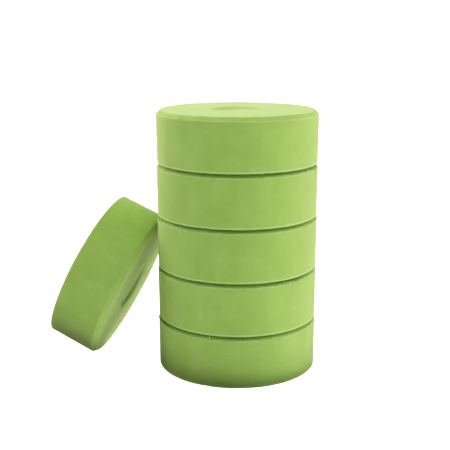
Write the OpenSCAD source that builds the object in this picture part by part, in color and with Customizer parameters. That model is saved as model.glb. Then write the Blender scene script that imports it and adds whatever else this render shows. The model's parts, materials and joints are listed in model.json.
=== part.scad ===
// Round floral foam bricks: a stack of them, and one more that leans on the stack.
//
// Each brick is one moulded block of dry phenolic foam with nothing inside it: a thick
// disc with a bevel round its upper face, a wall that narrows a little towards the foot,
// a rounded foot edge, a flat underside, and a shallow dish in the middle of the upper
// face. The bricks are loose. They only rest on each other and on the table.
//
// The origin is the centre of the lowest brick's underside, and +Z is up.

/* [Brick] */
// Diameter of a brick at its shoulder, where it is widest
brick_d = 120; // [90:1:150]
// Thickness of a brick from its underside to its upper face
brick_h = 39; // [30:0.5:60]

/* [Moulded edges] */
// Width of the bevel round the upper face, measured along the face
bevel_w = 3; // [1:0.5:8]
// Height of the same bevel, measured down the wall
bevel_h = 3; // [1:0.5:8]
// Draft of the wall in degrees: it narrows from the shoulder to the foot
wall_draft = 0.6; // [0:0.1:2]
// Radius of the rounded foot edge
foot_r = 0.8; // [0.4:0.1:3]

/* [Dish] */
// Diameter of the dish's rim in the upper face
dish_d = 38; // [20:1:60]
// Depth of the dish's flat floor below the upper face
dish_depth = 2; // [0.5:0.5:6]
// How far the dish's side slopes inwards from the rim to the floor
dish_slope = 3; // [1:0.5:6]

/* [Set] */
// Number of bricks in the stack
stack_count = 5; // [3:1:8]
// Lean of the last brick in degrees, counted from upright on its rim
lean_angle = 25.5; // [15:0.5:40]
// Side of the stack that it touches, in degrees anticlockwise from +X
touch_bearing = 167; // [0:0.5:360]
// Turn of the leaning brick away from facing the stack squarely, in degrees
lean_yaw = 1.4; // [-5:0.1:5]
// Clearance between the leaning brick's rim and the stack
lean_gap = 0.3; // [0.1:0.1:1]

/* [Hidden] */
$fn = 144;
foot_steps = 6;
foam_green = [0.58, 0.71, 0.37];
foam_green_leaning = [0.54, 0.68, 0.32];

// Outline of half a brick, from the axis outwards
brick_r = brick_d / 2;
shoulder = [brick_r, brick_h - bevel_h];
face_edge = [brick_r - bevel_w, brick_h];
dish_rim = [dish_d / 2, brick_h];
dish_floor = [dish_d / 2 - dish_slope, brick_h - dish_depth];
wall_up = [sin(wall_draft), cos(wall_draft)];
wall_out = [cos(wall_draft), -sin(wall_draft)];

// The foot's arc touches both the underside and the drafted wall
foot_along = (foot_r * (1 - wall_up.x) - shoulder.y) / wall_up.y;
foot_centre = shoulder + foot_along * wall_up - foot_r * wall_out;
foot_arc = [
    for (i = [0:foot_steps])
        let (a = -90 + i * (90 - wall_draft) / foot_steps)
            foot_centre + foot_r * [cos(a), sin(a)]
];

// The leaning brick stands on its shoulder, with its mid-thickness this high
lean_up = (brick_h / 2 - bevel_h) * sin(lean_angle) + brick_r * cos(lean_angle);

// It meets the stack with a rim of its dish side: the shoulder, or the face's edge when
// it leans less. A rim is [radius, height above mid-thickness]. Seen from above it is an
// ellipse, and rim_half is half the ellipse's width across the direction of touch.
function rim_of(corner) = [corner.x, corner.y - brick_h / 2];
function rim_half(rim) =
    rim[0] * norm([sin(lean_yaw), sin(lean_angle) * cos(lean_yaw)]);
function rim_reach(rim) = rim[1] * cos(lean_angle) * cos(lean_yaw) + rim_half(rim);
rims = [rim_of(shoulder), rim_of(face_edge)];
touch_rim = rim_reach(rims[0]) > rim_reach(rims[1]) ? rims[0] : rims[1];
touch_side = touch_rim[0] ^ 2 * sin(lean_yaw) * cos(lean_yaw) * cos(lean_angle) ^ 2
    / rim_half(touch_rim);
lean_at = [
    brick_r + lean_gap + rim_reach(touch_rim),
    touch_rim[1] * cos(lean_angle) * sin(lean_yaw) - touch_side,
    lean_up
];

function stack_name(k) = str("stack_brick_", k);

// One moulded brick, standing on its underside
module foam_brick() {
    rotate_extrude()
        polygon(concat(
            [[0, 0]],
            foot_arc,
            [shoulder, face_edge, dish_rim, dish_floor, [0, dish_floor.y]]
        ));
}

// Brick number k of the stack, counted from the table
module stack_brick(k) {
    color(foam_green)
        translate([0, 0, (k - 1) * brick_h])
            foam_brick();
}

// The brick beside the stack, its dish turned towards the stack and downwards
module leaning_brick() {
    color(foam_green_leaning)
        rotate([0, 0, touch_bearing])
            translate(lean_at)
                rotate([0, -(90 + lean_angle), lean_yaw])
                    translate([0, 0, -brick_h / 2])
                        foam_brick();
}

for (k = [1:stack_count])
    stack_brick(k);
leaning_brick();
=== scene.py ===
"""Round floral foam bricks, five in a stack and one leaning on it, dressed for the studio.

Lengths are metres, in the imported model's own frame: +Z up, the origin under the stack.
"""

import json
import logging
import math
from dataclasses import dataclass, field
from enum import Enum
from typing import Any

import bpy
import numpy as np
from mathutils import Matrix, Vector


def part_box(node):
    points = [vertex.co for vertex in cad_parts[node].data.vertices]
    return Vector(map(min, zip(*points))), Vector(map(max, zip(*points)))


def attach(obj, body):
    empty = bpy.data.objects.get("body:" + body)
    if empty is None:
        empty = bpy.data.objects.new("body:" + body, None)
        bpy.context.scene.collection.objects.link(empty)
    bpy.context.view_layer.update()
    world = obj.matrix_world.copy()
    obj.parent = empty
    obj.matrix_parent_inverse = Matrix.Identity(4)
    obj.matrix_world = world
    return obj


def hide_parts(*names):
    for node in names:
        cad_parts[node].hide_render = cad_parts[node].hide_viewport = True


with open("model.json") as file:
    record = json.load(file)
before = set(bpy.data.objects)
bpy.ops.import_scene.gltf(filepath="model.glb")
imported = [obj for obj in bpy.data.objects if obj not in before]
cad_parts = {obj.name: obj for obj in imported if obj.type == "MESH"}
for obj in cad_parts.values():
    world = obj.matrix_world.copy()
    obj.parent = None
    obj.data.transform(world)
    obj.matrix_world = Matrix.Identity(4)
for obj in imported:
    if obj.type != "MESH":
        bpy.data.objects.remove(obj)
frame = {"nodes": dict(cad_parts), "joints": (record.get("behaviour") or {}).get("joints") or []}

log = logging.getLogger("foam_bricks")

MM = 0.001

# Names of the values that a brick's mesh carries for its relief and its finish
MOULD_AT = "mould_at"
EDGE = "edge"
# This value marks rubbed, worn edges, and also the face, which is painted paler as a painted
# highlight
RUB_AND_HIGHLIGHT = "rub_and_highlight"

# How far apart in the foam's pattern each brick is from the next, in metres
PATTERN_STEP = (0.31, 0.17, 0.23)
# How far apart pin holes could be, and the share of those places that has none
PINHOLE_MM = 9.0
PINHOLE_BARE = 0.7


class Seat(Enum):
    """How a brick is held."""

    STACKED = "stacked"
    LEANING = "leaning"


def linear(code: str) -> tuple[float, float, float, float]:
    """Turn an sRGB colour into the linear one that a shader socket takes.

    Args:
        code: The colour as "#RRGGBB".

    Returns:
        Linear red, green, blue and an alpha of 1.
    """
    parts = [int(code[i:i + 2], 16) / 255 for i in (1, 3, 5)]
    bent = [c / 12.92 if c <= 0.04045 else ((c + 0.055) / 1.055) ** 2.4 for c in parts]
    return (*bent, 1.0)


def add_node(tree: bpy.types.NodeTree, kind: str, inputs: dict | None = None,
             **settings: Any) -> bpy.types.Node:
    """Add one node to a tree.

    Args:
        tree: The shader or geometry tree.
        kind: The node's type name.
        inputs: Socket name or number to a value, or to an output socket to link from.
        **settings: The node's own properties.

    Returns:
        The new node.
    """
    node = tree.nodes.new(kind)
    for key, value in settings.items():
        setattr(node, key, value)
    for key, value in (inputs or {}).items():
        if isinstance(value, bpy.types.NodeSocket):
            tree.links.new(value, node.inputs[key])
        else:
            node.inputs[key].default_value = value
    return node


# The sockets of a colour Mix node
MIX_A, MIX_B, MIX_OUT = 6, 7, 2


@dataclass(frozen=True)
class FoamFinish:
    """Dry phenolic foam with its moulded skin: millions of cells too small to see one by
    one, so it scatters light like chalk, with no gloss, a pale bloom of dust at grazing
    angles, and paler still where an edge has crumbled and shows broken cells."""

    name: str = "open_cell_phenolic_foam_moulded"
    body: str = "#99B95F"
    deep: str = "#92B257"
    pale: str = "#A1C168"
    # Pale colour of dust and broken cells, also used for the painted highlight on the face
    dust_and_highlight: str = "#C2D49C"
    # Darker colour inside the pin holes: painted shade in the pits
    pore_painted_shade: str = "#839E52"
    bloom: str = "#FFF6C4"
    roughness: float = 0.93
    ior: float = 1.5
    specular: float = 0.22
    sheen: float = 0.22
    sheen_roughness: float = 0.6
    scatter: float = 0.12
    mottle_mm: float = 14.0
    streak_mm: float = 9.0
    # Real cells are about 0.3 mm across. They are drawn as coarse as it takes to show.
    cell_mm: float = 0.8
    bump_mm: float = 0.12
    scuff_mm: float = 2.2
    scuff_patch_mm: float = 32.0
    dustiest: float = 0.2

    def build(self) -> bpy.types.Material:
        """Make the material.

        Returns:
            The finished foam material.
        """
        material = bpy.data.materials.new(self.name)
        material.use_nodes = True
        tree = material.node_tree
        tree.nodes.clear()
        at = add_node(tree, "ShaderNodeAttribute", attribute_name=MOULD_AT).outputs["Vector"]
        cells = self.noise(tree, at, self.cell_mm, 2.0, 0.7)
        pit = self.pin_holes(tree, at)
        worn_and_highlight = self.worn_and_highlight(tree, at, self.skin(tree, at, cells))
        # The colour goes darker inside the pin holes: painted shade in the pits
        colour = add_node(tree, "ShaderNodeMix", {
            0: pit, MIX_A: worn_and_highlight, MIX_B: linear(self.pore_painted_shade)}, data_type="RGBA")
        height = add_node(tree, "ShaderNodeMath", {0: cells, 1: pit}, operation="SUBTRACT")
        bump = add_node(tree, "ShaderNodeBump", {
            "Height": height.outputs[0], "Strength": 0.5, "Distance": self.bump_mm * MM})
        shader = add_node(tree, "ShaderNodeBsdfPrincipled", {
            "Base Color": colour.outputs[MIX_OUT], "Normal": bump.outputs[0],
            "Roughness": self.roughness, "IOR": self.ior, "Specular IOR Level": self.specular,
            "Sheen Weight": self.sheen, "Sheen Roughness": self.sheen_roughness,
            "Sheen Tint": linear(self.bloom),
            "Subsurface Weight": self.scatter, "Subsurface Radius": (0.6, 1.0, 0.3),
            "Subsurface Scale": 1.2 * MM})
        add_node(tree, "ShaderNodeOutputMaterial", {"Surface": shader.outputs[0]})
        return material

    @staticmethod
    def noise(tree: bpy.types.NodeTree, at: bpy.types.NodeSocket, size_mm: float,
              detail: float, roughness: float = 0.5) -> bpy.types.NodeSocket:
        """Add noise of one feature size.

        Args:
            tree: The material's tree.
            at: The place in the foam's pattern.
            size_mm: The size of a feature.
            detail: How many finer layers it has.
            roughness: How strong the finer layers are.

        Returns:
            The noise, around one half.
        """
        return add_node(tree, "ShaderNodeTexNoise", {
            "Vector": at, "Scale": 1 / (size_mm * MM), "Detail": detail,
            "Roughness": roughness}).outputs[0]

    def skin(self, tree: bpy.types.NodeTree, at: bpy.types.NodeSocket,
             cells: bpy.types.NodeSocket) -> bpy.types.NodeSocket:
        """Colour the whole skin: faintly mottled, drawn out along the wall, and speckled.

        Args:
            tree: The material's tree.
            at: The place in the foam's pattern.
            cells: The noise of the cells.

        Returns:
            The colour.
        """
        mottle = self.noise(tree, at, self.mottle_mm, 4.0, 0.62)
        drawn = add_node(tree, "ShaderNodeMapping", {"Vector": at, "Scale": (1, 1, 0.12)})
        streak = self.noise(tree, drawn.outputs[0], self.streak_mm, 1.0)
        tone = add_node(tree, "ShaderNodeMath", {0: streak, 1: 0.45, 2: mottle},
                        operation="MULTIPLY_ADD")
        tone = add_node(tree, "ShaderNodeMapRange", {
            "Value": tone.outputs[0], "From Min": 0.45, "From Max": 1.0})
        ground = add_node(tree, "ShaderNodeMix", {
            0: tone.outputs[0], MIX_A: linear(self.deep), MIX_B: linear(self.pale)},
            data_type="RGBA")
        speck = add_node(tree, "ShaderNodeMapRange", {
            "Value": cells, "From Min": 0.3, "From Max": 0.7, "To Min": 0.0, "To Max": 0.35})
        return add_node(tree, "ShaderNodeMix", {
            0: speck.outputs[0], MIX_A: ground.outputs[MIX_OUT], MIX_B: linear(self.body)},
            data_type="RGBA").outputs[MIX_OUT]

    def worn_and_highlight(self, tree: bpy.types.NodeTree, at: bpy.types.NodeSocket,
             skin: bpy.types.NodeSocket) -> bpy.types.NodeSocket:
        """Make the skin pale where it is rubbed, in a few dusty patches, and over the face, where
        the paleness is a painted highlight.

        Args:
            tree: The material's tree.
            at: The place in the foam's pattern.
            skin: The whole skin's colour.

        Returns:
            The colour.
        """
        rub_and_highlight = add_node(tree, "ShaderNodeAttribute", attribute_name=RUB_AND_HIGHLIGHT).outputs["Fac"]
        scuff = self.noise(tree, at, self.scuff_mm, 5.0, 0.75)
        where = self.noise(tree, at, self.scuff_patch_mm, 1.0)
        patchy = add_node(tree, "ShaderNodeMath", {0: scuff, 1: where}, operation="ADD")
        dusty = add_node(tree, "ShaderNodeMapRange", {
            "Value": patchy.outputs[0], "From Min": 1.2, "From Max": 1.45,
            "To Min": 0.0, "To Max": self.dustiest})
        crumbly = add_node(tree, "ShaderNodeMapRange", {
            "Value": scuff, "From Min": 0.34, "From Max": 0.62, "To Min": 0.3, "To Max": 0.9})
        # How pale the skin turns: rubbed edges, crumbs and dusty patches, and on the face a painted
        # highlight
        broken = add_node(tree, "ShaderNodeMath", {
            0: rub_and_highlight, 1: crumbly.outputs[0], 2: dusty.outputs[0]}, operation="MULTIPLY_ADD",
            use_clamp=True)
        return add_node(tree, "ShaderNodeMix", {
            0: broken.outputs[0], MIX_A: skin, MIX_B: linear(self.dust_and_highlight)},
            data_type="RGBA").outputs[MIX_OUT]

    @staticmethod
    def pin_holes(tree: bpy.types.NodeTree, at: bpy.types.NodeSocket) -> bpy.types.NodeSocket:
        """Mark the few pin holes that gas bubbles leave in the skin.

        Args:
            tree: The material's tree.
            at: The place in the foam's pattern.

        Returns:
            From 0, on the skin, to 1, inside a hole.
        """
        holes = add_node(tree, "ShaderNodeTexVoronoi", {
            "Vector": at, "Scale": 1 / (PINHOLE_MM * MM)}, feature="F1")
        pick = add_node(tree, "ShaderNodeSeparateColor", {0: holes.outputs["Color"]})
        rare = add_node(tree, "ShaderNodeMapRange", {
            "Value": pick.outputs[0], "From Min": PINHOLE_BARE, "From Max": 1.0,
            "To Min": 0.0, "To Max": 0.06})
        inside = add_node(tree, "ShaderNodeMath", {
            0: rare.outputs[0], 1: holes.outputs["Distance"]}, operation="SUBTRACT")
        return add_node(tree, "ShaderNodeMapRange", {
            "Value": inside.outputs[0], "From Min": 0.0, "From Max": 0.03}).outputs[0]


@dataclass(frozen=True)
class FloorFinish:
    """Matt white paper sweep, rolled, which shows as an even pale ground."""

    name: str = "matt_white_paper_sweep"
    sheet: str = "#F4F4F2"
    fibre: str = "#EFEFEC"
    roughness: float = 0.95
    fibre_mm: float = 3.0
    glow: float = 1.0

    def build(self) -> bpy.types.Material:
        """Make the material.

        Returns:
            The finished paper material.
        """
        material = bpy.data.materials.new(self.name)
        material.use_nodes = True
        tree = material.node_tree
        tree.nodes.clear()
        at = add_node(tree, "ShaderNodeTexCoord").outputs["Object"]
        fibres = add_node(tree, "ShaderNodeTexNoise", {
            "Vector": at, "Scale": 1 / (self.fibre_mm * MM)})
        colour = add_node(tree, "ShaderNodeMix", {
            0: fibres.outputs[0], MIX_A: linear(self.sheet), MIX_B: linear(self.fibre)},
            data_type="RGBA")
        shader = add_node(tree, "ShaderNodeBsdfPrincipled", {
            "Base Color": colour.outputs[MIX_OUT], "Roughness": self.roughness,
            "Specular IOR Level": 0.2, "Emission Color": (1, 1, 1, 1),
            "Emission Strength": self.glow})
        add_node(tree, "ShaderNodeOutputMaterial", {"Surface": shader.outputs[0]})
        return material


@dataclass(frozen=True)
class CardFinish:
    """Matt black card, laid face up, which gives nothing back."""

    name: str = "matt_black_card"
    sheet: str = "#0A0A0A"

    def build(self) -> bpy.types.Material:
        """Make the material.

        Returns:
            The finished card material.
        """
        material = bpy.data.materials.new(self.name)
        material.use_nodes = True
        tree = material.node_tree
        tree.nodes.clear()
        shader = add_node(tree, "ShaderNodeBsdfPrincipled", {
            "Base Color": linear(self.sheet), "Roughness": 1.0, "Specular IOR Level": 0.0})
        add_node(tree, "ShaderNodeOutputMaterial", {"Surface": shader.outputs[0]})
        return material


@dataclass(frozen=True)
class BrickShape:
    """The half section of a brick, and how finely it is turned into a surface."""

    radius: float
    height: float
    bevel_width: float = 3 * MM
    bevel_height: float = 3 * MM
    draft: float = math.radians(0.6)
    dish_radius: float = 19 * MM
    dish_depth: float = 2 * MM
    dish_slope: float = 3 * MM
    dish_round: float = 5 * MM
    edge_round: float = 0.45 * MM
    # What the relief takes off the wall on average, so that the worn wall stays on size
    swell: float = 0.17 * MM
    # How much paler the face and dish are painted all over: a painted highlight
    face_painted_highlight: float = 0.3
    crumble_reach: float = 0.9 * MM
    # How far above the foot the wall is rubbed pale, in a line that is partly a painted
    # highlight, and how near the top counts as the face, which is painted paler as a highlight
    rub_and_highlight_above_foot: float = 0.9 * MM
    face_depth: float = 0.2 * MM
    # Spacing of the section's points beside an edge, then away from it, and how far from the
    # edge it has widened fully
    fine: float = 0.36 * MM
    coarse: float = 0.74 * MM
    coarsening: float = 4 * MM
    segments: int = 512
    arc_steps: int = 5

    @property
    def shoulder(self) -> Vector:
        """The widest corner, where the wall meets the bevel."""
        return Vector((self.radius + self.swell, self.height - self.bevel_height))

    def corners(self) -> list[tuple[Vector, float, float]]:
        """List the corners from the underside's middle to the dish's middle.

        Returns:
            For each corner its place (radius, height), its rounding and how readily it
            crumbles, from 0 to 1.
        """
        foot = self.shoulder.x - self.shoulder.y * math.tan(self.draft)
        floor = self.height - self.dish_depth
        return [
            (Vector((0, 0)), 0, 0),
            (Vector((foot, 0)), self.edge_round, 0.3),
            (self.shoulder, self.edge_round, 1.0),
            (Vector((self.radius - self.bevel_width, self.height)), self.edge_round, 0.6),
            (Vector((self.dish_radius, self.height)), self.dish_round, 0.2),
            (Vector((self.dish_radius - self.dish_slope, floor)), self.dish_round, 0),
            (Vector((0, floor)), 0, 0),
        ]

    def outline(self) -> list[Vector]:
        """Round the corners and set points along the whole half section.

        Returns:
            The points from the underside's middle to the dish's middle.
        """
        corners = self.corners()
        points = [corners[0][0]]
        for (before, _, _), (corner, rounding, _), (after, _, _) in zip(
                corners, corners[1:], corners[2:]):
            back, on = (before - corner).normalized(), (after - corner).normalized()
            cut = rounding / math.tan(back.angle(on) / 2)
            start, end = corner + back * cut, corner + on * cut
            points += self.stretch(points[-1], start)
            for step in range(self.arc_steps + 1):
                t = step / self.arc_steps
                points.append(start.lerp(corner, t).lerp(corner.lerp(end, t), t))
        return points + self.stretch(points[-1], corners[-1][0]) + [corners[-1][0]]

    def stretch(self, start: Vector, end: Vector) -> list[Vector]:
        """Set points along a straight stretch, closer together next to a rounded edge.

        Args:
            start: Where the stretch begins.
            end: Where it ends.

        Returns:
            The points between the two.
        """
        length = (end - start).length
        places, at = [], 0.0
        reach = self.coarsening
        while at < length - self.fine / 2:
            places.append(at)
            near = min(at if start.x > 0 else reach, length - at if end.x > 0 else reach)
            at += self.fine + (self.coarse - self.fine) * min(1.0, max(near, 0) / reach)
        return [start.lerp(end, place / length) for place in places[1:]]

    def crumbliness(self, point: Vector) -> float:
        """Say how close a point of the section is to an edge that crumbles.

        Args:
            point: The point, as (radius, height).

        Returns:
            From 0, far from any edge, to 1, on the shoulder.
        """
        return max(weight * math.exp(-((point - corner).length / self.crumble_reach) ** 2)
                   for corner, _, weight in self.corners())

    def rubbing_and_highlight(self, point: Vector, handled: float) -> float:
        """Say how much the skin is rubbed pale at a point of the section, which happens in thin
        lines: along the shoulder, above the foot and round the face. The lines above the foot and
        round the dish are partly painted highlights, and the whole face and dish are painted
        paler as a painted highlight.

        Args:
            point: The point, as (radius, height).
            handled: How much the brick's edges have been rubbed, from 0 to 1.

        Returns:
            From 0, where the skin is whole, to 1.
        """
        _, foot, shoulder, face_edge, dish_rim, _, _ = [corner for corner, _, _ in self.corners()]
        # The pale line above the foot is partly rubbing and partly a painted highlight on the
        # foot's edge; the line round the dish rim is partly a painted highlight too
        above_foot = foot + Vector((0, self.rub_and_highlight_above_foot))
        # Each line's middle, its half width in mm and how strong it is
        lines = [(shoulder, 0.55, 0.75), (above_foot, 0.55, 1.0), (face_edge, 0.5, 0.45),
                 (dish_rim, 1.0, 0.4)]
        # The face and the dish are painted paler all over: a painted highlight
        on_face = point.y > self.height - self.face_depth or self.in_dish(point)
        face = self.face_painted_highlight if on_face else 0
        return max([face] + [handled * weight * math.exp(
            -((point - middle).length / (width * MM)) ** 2) for middle, width, weight in lines])

    def in_dish(self, point: Vector) -> bool:
        """Whether a point of the section lies in the dish."""
        return point.y > self.height / 2 and point.x < self.dish_radius

    def ring_counts(self, points: list[Vector]) -> list[int]:
        """Choose how many segments each ring has, halving them towards the axis.

        Args:
            points: The half section.

        Returns:
            A count for each point, 1 where the point is on the axis.
        """
        # A ring is halved once its faces are under this share of the rim's
        shortest = 0.62 * math.tau * self.radius / self.segments
        counts = []
        for point in points:
            count = self.segments
            while count > 9 and math.tau * point.x / count < shortest:
                count //= 2
            counts.append(count if point.x > 0 else 1)
        return counts


@dataclass(frozen=True)
class Relief:
    """The uneven, pitted and crumbled surface that a moulded brick really has: how deep
    each kind of wear goes below the true form, in metres, and how wide it is, in mm."""

    uneven: float = 0.22 * MM
    grain: float = 0.10 * MM
    crumble: float = 0.55 * MM
    chip: float = 1.3 * MM
    pinhole: float = 0.3 * MM
    uneven_mm: float = 34.0
    grain_mm: float = 1.7
    crumble_mm: float = 2.6
    chip_mm: float = 9.0

    def tree(self, material: bpy.types.Material) -> bpy.types.NodeTree:
        """Build the geometry tree that wears a true surface down.

        Args:
            material: What the surface is made of.

        Returns:
            The tree, with one named input for each depth.
        """
        tree = bpy.data.node_groups.new("foam_relief", "GeometryNodeTree")
        face = tree.interface
        face.new_socket("Geometry", in_out="INPUT", socket_type="NodeSocketGeometry")
        for name in ("Uneven", "Grain", "Crumble", "Chip", "Pinhole"):
            face.new_socket(name, in_out="INPUT", socket_type="NodeSocketFloat")
        face.new_socket("Geometry", in_out="OUTPUT", socket_type="NodeSocketGeometry")
        given = add_node(tree, "NodeGroupInput").outputs
        at = add_node(tree, "GeometryNodeInputNamedAttribute", {"Name": MOULD_AT},
                      data_type="FLOAT_VECTOR").outputs[0]
        edge = add_node(tree, "GeometryNodeInputNamedAttribute", {"Name": EDGE},
                        data_type="FLOAT").outputs[0]

        def noise(size_mm: float, detail: float, low: float, high: float) -> Any:
            """Noise of one feature size, stretched from 0 at low to 1 at high."""
            raw = add_node(tree, "ShaderNodeTexNoise", {
                "Vector": at, "Scale": 1 / (size_mm * MM), "Detail": detail})
            return add_node(tree, "ShaderNodeMapRange", {
                "Value": raw.outputs[0], "From Min": low, "From Max": high}).outputs[0]

        def scaled(value: Any, depth: Any, rest: Any = 0.0) -> Any:
            """One layer's depth, added to the rest."""
            return add_node(tree, "ShaderNodeMath", {0: value, 1: depth, 2: rest},
                            operation="MULTIPLY_ADD").outputs[0]

        holes = add_node(tree, "ShaderNodeTexVoronoi", {
            "Vector": at, "Scale": 1 / (PINHOLE_MM * MM)}, feature="F1")
        pick = add_node(tree, "ShaderNodeSeparateXYZ", {0: holes.outputs["Color"]})
        rare = add_node(tree, "ShaderNodeMapRange", {
            "Value": pick.outputs[0], "From Min": PINHOLE_BARE, "From Max": 1.0,
            "To Min": 0.0, "To Max": 0.07})
        inside = add_node(tree, "ShaderNodeMath", {
            0: rare.outputs[0], 1: holes.outputs["Distance"]}, operation="SUBTRACT")
        pit = add_node(tree, "ShaderNodeMapRange", {
            "Value": inside.outputs[0], "From Min": 0.0, "From Max": 0.05}).outputs[0]

        crumbled = scaled(edge, noise(self.crumble_mm, 3.0, 0.46, 0.78))
        chipped = scaled(edge, noise(self.chip_mm, 1.0, 0.62, 0.80))
        depth = scaled(noise(self.uneven_mm, 1.0, 0.25, 0.75), given["Uneven"])
        depth = scaled(noise(self.grain_mm, 2.0, 0.2, 0.8), given["Grain"], depth)
        depth = scaled(crumbled, given["Crumble"], depth)
        depth = scaled(chipped, given["Chip"], depth)
        depth = scaled(pit, given["Pinhole"], depth)
        normal = add_node(tree, "GeometryNodeInputNormal").outputs[0]
        inward = add_node(tree, "ShaderNodeMath", {0: depth, 1: -1.0}, operation="MULTIPLY")
        move = add_node(tree, "ShaderNodeVectorMath", {
            0: normal, "Scale": inward.outputs[0]}, operation="SCALE")
        moved = add_node(tree, "GeometryNodeSetPosition", {
            "Geometry": given["Geometry"], "Offset": move.outputs[0]})
        real = add_node(tree, "GeometryNodeRealizeInstances", {0: moved.outputs[0]})
        dressed = add_node(tree, "GeometryNodeSetMaterial", {
            "Geometry": real.outputs[0], "Material": material})
        add_node(tree, "NodeGroupOutput", {0: dressed.outputs[0]})
        return tree

    def depths(self) -> dict[str, float]:
        """The tree's input names and this relief's values for them."""
        return {"Uneven": self.uneven, "Grain": self.grain, "Crumble": self.crumble,
                "Chip": self.chip, "Pinhole": self.pinhole}


def run_tree(piece: bpy.types.Object, tree: bpy.types.NodeTree, values: dict[str, Any]) -> None:
    """Put a piece through a geometry tree and keep the result as its plain mesh.

    Args:
        piece: The object to change.
        tree: The geometry tree.
        values: Input name to value.
    """
    modifier = piece.modifiers.new(tree.name, "NODES")
    modifier.node_group = tree
    for item in tree.interface.items_tree:
        if item.in_out == "INPUT" and item.name in values:
            modifier[item.identifier] = values[item.name]
    piece.update_tag()
    evaluated = piece.evaluated_get(bpy.context.evaluated_depsgraph_get())
    mesh = bpy.data.meshes.new_from_object(evaluated)
    piece.modifiers.clear()
    mesh.name = piece.name
    piece.data = mesh


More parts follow.
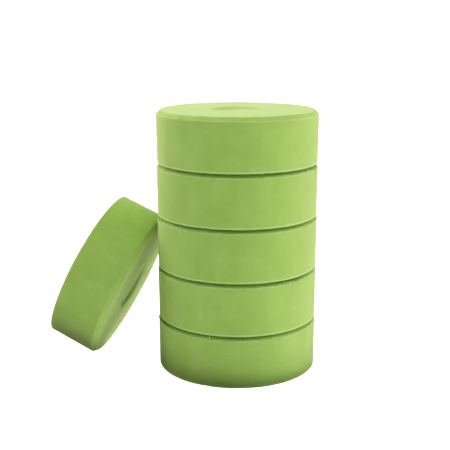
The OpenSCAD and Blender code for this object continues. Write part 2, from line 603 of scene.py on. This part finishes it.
@dataclass(frozen=True)
class Crumbs:
    """Loose crumbs of foam that have come off an edge and cling to the bevel below it."""

    ledge_radius: float
    ledge_height: float
    ledge_width: float
    tries: int = 520
    smallest: float = 0.2 * MM
    largest: float = 0.9 * MM
    patchiness: float = 0.58

    @staticmethod
    def tree(material: bpy.types.Material) -> bpy.types.NodeTree:
        """Build the geometry tree that scatters crumbs in patches round the bevel.

        Args:
            material: What the crumbs are made of.

        Returns:
            The tree, with a named input for each size.
        """
        tree = bpy.data.node_groups.new("foam_crumbs", "GeometryNodeTree")
        face = tree.interface
        face.new_socket("Geometry", in_out="INPUT", socket_type="NodeSocketGeometry")
        for name in ("Radius", "Height", "Width", "Smallest", "Largest", "Patchiness"):
            face.new_socket(name, in_out="INPUT", socket_type="NodeSocketFloat")
        for name in ("Tries", "Seed"):
            face.new_socket(name, in_out="INPUT", socket_type="NodeSocketInt")
        face.new_socket("Geometry", in_out="OUTPUT", socket_type="NodeSocketGeometry")
        given = add_node(tree, "NodeGroupInput").outputs

        def chance(salt: int, low: Any, high: Any) -> Any:
            """A random number for each crumb, from low to high."""
            seed = add_node(tree, "ShaderNodeMath", {0: given["Seed"], 1: salt * 31.0})
            return add_node(tree, "FunctionNodeRandomValue", {
                2: low, 3: high, "Seed": seed.outputs[0]}, data_type="FLOAT").outputs[1]

        def maths(operation: str, *values: Any) -> Any:
            """One arithmetic step."""
            return add_node(tree, "ShaderNodeMath", dict(enumerate(values)),
                            operation=operation).outputs[0]

        turn, inward = chance(1, 0.0, math.tau), chance(2, 0.05, 0.6)
        spread = maths("SUBTRACT", given["Radius"], maths("MULTIPLY", given["Width"], inward))
        height = maths("MULTIPLY_ADD", given["Width"], inward, given["Height"])
        place = add_node(tree, "ShaderNodeCombineXYZ", {
            0: maths("MULTIPLY", spread, maths("COSINE", turn)),
            1: maths("MULTIPLY", spread, maths("SINE", turn)), 2: height}).outputs[0]
        points = add_node(tree, "GeometryNodePoints", {
            "Count": given["Tries"], "Position": place, "Radius": 0.001})
        patch = add_node(tree, "ShaderNodeTexNoise", {
            "W": maths("MULTIPLY", given["Seed"], 7.3),
            "Vector": add_node(tree, "GeometryNodeInputPosition").outputs[0],
            "Scale": 1 / (16 * MM), "Detail": 1.0}, noise_dimensions="4D")
        bare = maths("LESS_THAN", patch.outputs[0], given["Patchiness"])
        kept = add_node(tree, "GeometryNodeDeleteGeometry", {
            "Geometry": points.outputs[0], "Selection": bare}, domain="POINT")
        crumb = add_node(tree, "GeometryNodeMeshIcoSphere", {"Radius": 1.0, "Subdivisions": 1})
        spin = add_node(tree, "ShaderNodeCombineXYZ", {
            0: chance(3, 0.0, math.tau), 1: chance(4, 0.0, math.tau), 2: chance(5, 0.0, math.tau)})
        fineness = maths("POWER", chance(6, 0.0, 1.0), 2.5)
        size = add_node(tree, "ShaderNodeMapRange", {
            "Value": fineness, "To Min": given["Smallest"], "To Max": given["Largest"]})
        stretch = add_node(tree, "ShaderNodeCombineXYZ", {
            0: size.outputs[0], 1: maths("MULTIPLY", size.outputs[0], chance(7, 0.6, 1.0)),
            2: maths("MULTIPLY", size.outputs[0], chance(8, 0.5, 0.9))})
        laid = add_node(tree, "GeometryNodeInstanceOnPoints", {
            "Points": kept.outputs[0], "Instance": crumb.outputs[0],
            "Rotation": spin.outputs[0], "Scale": stretch.outputs[0]})
        real = add_node(tree, "GeometryNodeRealizeInstances", {0: laid.outputs[0]})
        rough = add_node(tree, "ShaderNodeTexNoise", {"Scale": 1 / (0.5 * MM), "Detail": 1.0})
        jag = add_node(tree, "ShaderNodeVectorMath", {
            0: rough.outputs["Color"], 1: (0.5, 0.5, 0.5)}, operation="SUBTRACT")
        shove = add_node(tree, "ShaderNodeVectorMath", {
            0: jag.outputs[0], "Scale": 0.5 * MM}, operation="SCALE")
        broken = add_node(tree, "GeometryNodeSetPosition", {
            "Geometry": real.outputs[0], "Offset": shove.outputs[0]})
        marked = add_node(tree, "GeometryNodeStoreNamedAttribute", {
            "Geometry": broken.outputs[0], "Name": MOULD_AT,
            "Value": add_node(tree, "GeometryNodeInputPosition").outputs[0]},
            data_type="FLOAT_VECTOR", domain="POINT")
        rubbed = add_node(tree, "GeometryNodeStoreNamedAttribute", {
            "Geometry": marked.outputs[0], "Name": RUB_AND_HIGHLIGHT, "Value": 0.9},
            data_type="FLOAT", domain="POINT")
        solid = add_node(tree, "GeometryNodeRealizeInstances", {0: rubbed.outputs[0]})
        dressed = add_node(tree, "GeometryNodeSetMaterial", {
            "Geometry": solid.outputs[0], "Material": material})
        add_node(tree, "NodeGroupOutput", {0: dressed.outputs[0]})
        return tree

    def values(self, seed: int) -> dict[str, float]:
        """The tree's input names and these crumbs' values for them."""
        return {"Radius": self.ledge_radius, "Height": self.ledge_height,
                "Width": self.ledge_width, "Smallest": self.smallest,
                "Largest": self.largest, "Patchiness": self.patchiness,
                "Tries": self.tries, "Seed": seed}


@dataclass
class FoamBrick:
    """One loose brick: a solid moulded disc of foam."""

    node: str
    seat: Seat
    shape: BrickShape
    relief: Relief = field(default_factory=Relief)
    seed: int = 0
    handled: float = 1.0

    def placement(self) -> Matrix:
        """Find where the brick goes, from its underside's middle to its place.

        Returns:
            The matrix that takes the brick from its own frame to the set's.
        """
        if self.seat is Seat.STACKED:
            low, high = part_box(self.node)
            return Matrix.Translation(((low[0] + high[0]) / 2, (low[1] + high[1]) / 2, low[2]))
        tilt = next(j for j in frame["joints"] if j["child"] == self.node)
        lean = math.radians(tilt["range_deg"][1])
        away = Vector(tilt["axis"]).cross(Vector((0, 0, 1)))
        on_rim = Matrix.Translation((self.shape.shoulder.y, 0, self.shape.radius))
        return (Matrix.Translation(tilt["pos_m"])
                @ Matrix.Rotation(math.atan2(away.y, away.x), 4, "Z")
                @ Matrix.Rotation(-lean, 4, "Y")
                @ on_rim
                @ Matrix.Rotation(-math.pi / 2, 4, "Y"))

    def true_form(self) -> bpy.types.Object:
        """Turn the half section into a closed surface, in place.

        Returns:
            The object, whose mesh carries the values that the relief and finish read.
        """
        points = self.shape.outline()
        counts = self.shape.ring_counts(points)
        corners, rings = [], []
        for point, count in zip(points, counts):
            rings.append(np.arange(count) + sum(len(r) for r in rings))
            turn = np.arange(count) * math.tau / count
            corners.append(np.stack([point.x * np.cos(turn), point.x * np.sin(turn),
                                     np.full(count, point.y)], axis=1))
        own = np.concatenate(corners)
        faces = [face for a, b in zip(rings, rings[1:]) for face in self.band(a, b)]
        place = np.array(self.placement())
        mesh = bpy.data.meshes.new(self.node)
        mesh.from_pydata(own @ place[:3, :3].T + place[:3, 3], [], faces)
        mesh.polygons.foreach_set("use_smooth", [True] * len(mesh.polygons))
        shift = np.array(PATTERN_STEP) * (self.seed + 1)
        mesh.attributes.new(MOULD_AT, "FLOAT_VECTOR", "POINT").data.foreach_set(
            "vector", (own + shift).astype(np.float32).ravel())
        wear = np.repeat([self.shape.crumbliness(p) for p in points], counts)
        mesh.attributes.new(EDGE, "FLOAT", "POINT").data.foreach_set(
            "value", wear.astype(np.float32))
        # Rubbed pale lines, with the face painted paler as a painted highlight
        rub_and_highlight = np.repeat([self.shape.rubbing_and_highlight(p, self.handled) for p in points], counts)
        mesh.attributes.new(RUB_AND_HIGHLIGHT, "FLOAT", "POINT").data.foreach_set(
            "value", rub_and_highlight.astype(np.float32))
        piece = bpy.data.objects.new(f"{self.node}_foam", mesh)
        bpy.context.collection.objects.link(piece)
        return piece

    @staticmethod
    def band(lower: np.ndarray, upper: np.ndarray) -> list[list[int]]:
        """Join two neighbouring rings, which may differ by a factor of two or be a point.

        Args:
            lower: Vertex numbers of the ring nearer the section's start.
            upper: Vertex numbers of the next ring.

        Returns:
            The faces between them, pointing outwards.
        """
        m, n = len(lower), len(upper)
        if m == 1:
            return [[lower[0], upper[(i + 1) % n], upper[i]] for i in range(n)]
        if n == 1:
            return [[lower[i], lower[(i + 1) % m], upper[0]] for i in range(m)]
        if m == n:
            return [[lower[i], lower[(i + 1) % m], upper[(i + 1) % n], upper[i]]
                    for i in range(m)]
        faces = []
        for i in range(min(m, n)):
            j, k = 2 * i + 1, (2 * i + 2) % max(m, n)
            if m > n:
                a, b = upper[i], upper[(i + 1) % n]
                faces += [[lower[2 * i], lower[j], a], [lower[j], lower[k], b], [lower[j], b, a]]
            else:
                a, b = lower[i], lower[(i + 1) % m]
                faces += [[a, upper[j], upper[2 * i]], [b, upper[k], upper[j]], [a, b, upper[j]]]
        return faces

    def build(self, tree: bpy.types.NodeTree) -> bpy.types.Object:
        """Args:
            tree: The relief's geometry tree.

        Returns:
            The finished piece.
        """
        piece = self.true_form()
        run_tree(piece, tree, self.relief.depths())
        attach(piece, self.node)
        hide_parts(self.node)
        log.info("%s: %d faces, seat %s", piece.name, len(piece.data.polygons), self.seat.value)
        return piece

    def crumbs(self, tree: bpy.types.NodeTree) -> bpy.types.Object:
        """Scatter the crumbs that cling to this brick's bevel.

        Args:
            tree: The crumbs' geometry tree.

        Returns:
            The finished piece, which moves with the brick.
        """
        shape = self.shape
        scatter = Crumbs(shape.shoulder.x, shape.shoulder.y, shape.bevel_width)
        piece = bpy.data.objects.new(f"{self.node}_crumbs", bpy.data.meshes.new(self.node))
        bpy.context.collection.objects.link(piece)
        run_tree(piece, tree, scatter.values(self.seed))
        piece.data.transform(self.placement())
        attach(piece, self.node)
        log.info("%s: %d faces", piece.name, len(piece.data.polygons))
        return piece


@dataclass
class BrickSet:
    """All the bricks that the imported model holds."""

    finish: FoamFinish = field(default_factory=FoamFinish)

    def bricks(self) -> list[FoamBrick]:
        """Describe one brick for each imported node.

        Returns:
            The bricks, the stack's first.
        """
        low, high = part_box("stack_brick_1")
        shape = BrickShape(radius=(high[0] - low[0]) / 2, height=high[2] - low[2])
        made = []
        for seed, node in enumerate(sorted(frame["nodes"], reverse=True)):
            seat = Seat.STACKED if node.startswith("stack") else Seat.LEANING
            handled = 1.0 if seat is Seat.STACKED else 0.35
            made.append(FoamBrick(node=node, seat=seat, shape=shape, seed=seed, handled=handled))
        return made

    def build(self) -> list[bpy.types.Object]:
        """Make every brick.

        Returns:
            The finished pieces.
        """
        foam = self.finish.build()
        relief, crumbs = Relief().tree(foam), Crumbs.tree(foam)
        bricks = self.bricks()
        pieces = [brick.build(relief) for brick in bricks]
        stacked = [brick for brick in bricks if brick.seat is Seat.STACKED]
        stacked.sort(key=lambda brick: brick.placement().translation.z)
        # Crumbs come off the brick above, so the top one has none
        return pieces + [brick.crumbs(crumbs) for brick in stacked[:-1]]


@dataclass(frozen=True)
class Softbox:
    """One square soft light, aimed at the stack."""

    name: str
    place: tuple[float, float, float]
    side: float
    power: float

    def build(self, target: Vector) -> None:
        """Hang the light.

        Args:
            target: What it points at.
        """
        data = bpy.data.lights.new(self.name, "AREA")
        data.shape = "SQUARE"
        data.size = self.side
        data.energy = self.power
        light = bpy.data.objects.new(self.name, data)
        light.location = self.place
        light.rotation_euler = (target - Vector(self.place)).to_track_quat("-Z", "Y").to_euler()
        bpy.context.collection.objects.link(light)


@dataclass
class Studio:
    """A thin white paper sweep, soft lights above and below it, and the camera."""

    camera_place: tuple[float, float, float] = (-0.00913, -0.65806, 0.25826)
    camera_pitch: float = math.radians(-12.93)
    lens_mm: float = 71.29
    sweep_half: float = 3.0
    sweep_back: float = 1.6
    sweep_height: float = 2.4
    bend: float = 0.6
    bend_steps: int = 24
    # Middle and reach of each dark card, one below the stack and one below the lean
    shades: tuple[tuple[float, float, float], ...] = ((-0.002, 0.0, 0.077), (-0.145, -0.012, 0.054))
    shade_sides: int = 48
    shade_depth: float = 5 * MM
    contrast: float = 1.3
    roll_off: float = 1.7
    curve_steps: int = 10
    # The light from below fades out between these two slopes, as the sine of the angle
    glow_steep: float = -0.7
    glow_flat: float = -0.35
    glow_below: float = 1.5
    floor_finish: FloorFinish = field(default_factory=FloorFinish)
    aim: tuple[float, float, float] = (0.0, 0.0, 0.1)
    softboxes: tuple[Softbox, ...] = (
        Softbox("overhead_softbox", (0.0, 0.0, 1.5), 0.8, 8.6),
        Softbox("overhead_front_softbox", (0.0, -0.75, 1.4), 0.8, 4.0),
        Softbox("overhead_left_softbox", (-0.9, 0.0, 1.2), 0.8, 1.6),
        Softbox("overhead_right_softbox", (0.9, 0.0, 1.2), 0.8, 6.5),
        Softbox("left_softbox", (-1.3, 0.0, 0.6), 0.8, 5.0),
        Softbox("left_rim_softbox", (-0.95, 0.95, 0.6), 0.8, 11.1),
        Softbox("right_rim_softbox", (0.95, 0.95, 0.6), 0.8, 2.8),
        Softbox("under_right_softbox", (1.2, 0.0, -0.4), 0.8, 6.0),
        Softbox("under_front_right_softbox", (0.9, -0.9, -0.4), 0.8, 4.0),
        Softbox("under_front_softbox", (-0.1, -1.1, -0.6), 0.8, 3.3),
    )

    def camera(self) -> None:
        """Set up the camera."""
        data = bpy.data.cameras.new("studio_camera")
        data.lens = self.lens_mm
        data.sensor_width = 36
        data.clip_start = 0.01
        camera = bpy.data.objects.new("studio_camera", data)
        camera.location = self.camera_place
        camera.rotation_euler = (math.pi / 2 + self.camera_pitch, 0, 0)
        bpy.context.collection.objects.link(camera)
        bpy.context.scene.camera = camera

    def sweep(self) -> None:
        """Roll the paper out under the bricks and up behind them."""
        side = [(-self.sweep_half, 0.0)]
        for step in range(self.bend_steps + 1):
            turn = step / self.bend_steps * math.pi / 2
            side.append((self.sweep_back + self.bend * math.sin(turn),
                         self.bend * (1 - math.cos(turn))))
        side.append((self.sweep_back + self.bend, self.sweep_height))
        places = [(x, y, z) for y, z in side for x in (-self.sweep_half, self.sweep_half)]
        faces = [(2 * i, 2 * i + 1, 2 * i + 3, 2 * i + 2) for i in range(len(side) - 1)]
        mesh = bpy.data.meshes.new("paper_sweep")
        mesh.from_pydata(places, [], faces)
        mesh.polygons.foreach_set("use_smooth", [True] * len(faces))
        mesh.materials.append(self.floor_finish.build())
        sweep = bpy.data.objects.new("paper_sweep", mesh)
        # As thin paper lit from both sides: it blocks none of the lights below it, and its
        # own glow is for the eye only
        sweep.visible_diffuse = False
        sweep.visible_shadow = False
        bpy.context.collection.objects.link(sweep)

    def shade(self) -> None:
        """Lay dark cards under the sheet, which keep the light from below off the feet of the
        bricks as their own bulk does."""
        material = CardFinish().build()
        turns = [math.tau * i / self.shade_sides for i in range(self.shade_sides)]
        for number, (x, y, reach) in enumerate(self.shades):
            mesh = bpy.data.meshes.new(f"shade_card_{number}")
            rim = [(x + reach * math.cos(turn), y + reach * math.sin(turn), -self.shade_depth)
                   for turn in turns]
            mesh.from_pydata(rim, [], [range(self.shade_sides)])
            mesh.materials.append(material)
            card = bpy.data.objects.new(mesh.name, mesh)
            card.visible_camera = False
            bpy.context.collection.objects.link(card)

    def lights(self) -> None:
        """Hang the softboxes and set the room's even light."""
        for softbox in self.softboxes:
            softbox.build(Vector(self.aim))
        world = bpy.data.worlds.new("white_room")
        bpy.context.scene.world = world
        world.use_nodes = True
        tree = world.node_tree
        tree.nodes.clear()
        towards = add_node(tree, "ShaderNodeTexCoord").outputs["Generated"]
        up = add_node(tree, "ShaderNodeSeparateXYZ", {0: towards}).outputs["Z"]
        strength = add_node(tree, "ShaderNodeMapRange", {
            "Value": up, "From Min": self.glow_steep, "From Max": self.glow_flat,
            "To Min": self.glow_below, "To Max": 0.0})
        seen = add_node(tree, "ShaderNodeLightPath").outputs["Is Camera Ray"]
        shown = add_node(tree, "ShaderNodeMix", {
            "Factor": seen, 2: strength.outputs[0], 3: 1.0})
        room = add_node(tree, "ShaderNodeBackground", {
            "Color": (1, 1, 1, 1), "Strength": shown.outputs[0]})
        add_node(tree, "ShaderNodeOutputWorld", {"Surface": room.outputs[0]})

    def tone(self) -> None:
        """Give the picture a print's tones: deeper shadows and highlights that roll off."""
        view = bpy.context.scene.view_settings
        view.view_transform = "Standard"
        view.use_curve_mapping = True
        curve = view.curve_mapping.curves[3]
        for step in range(1, self.curve_steps):
            # Closer together in the shadows, where the curve bends most
            level = (step / self.curve_steps) ** 1.3
            curve.points.new(level, self.rolled(level))
        view.curve_mapping.extend = "HORIZONTAL"
        view.curve_mapping.update()

    def rolled(self, level: float) -> float:
        """A tone from 0 to 1 after the contrast and the highlight roll-off."""
        return ((1 - math.exp(-self.roll_off * level ** self.contrast))
                / (1 - math.exp(-self.roll_off)))

    def build(self) -> None:
        """Set up the whole studio."""
        self.camera()
        self.sweep()
        self.shade()
        self.lights()
        self.tone()
        log.info("studio: %d softboxes", len(self.softboxes))


def main() -> None:
    """Build everything in order."""
    logging.basicConfig(level=logging.INFO, format="%(name)s: %(message)s")
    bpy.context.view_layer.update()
    Studio().build()
    BrickSet().build()


if __name__ == "__main__":
    main()
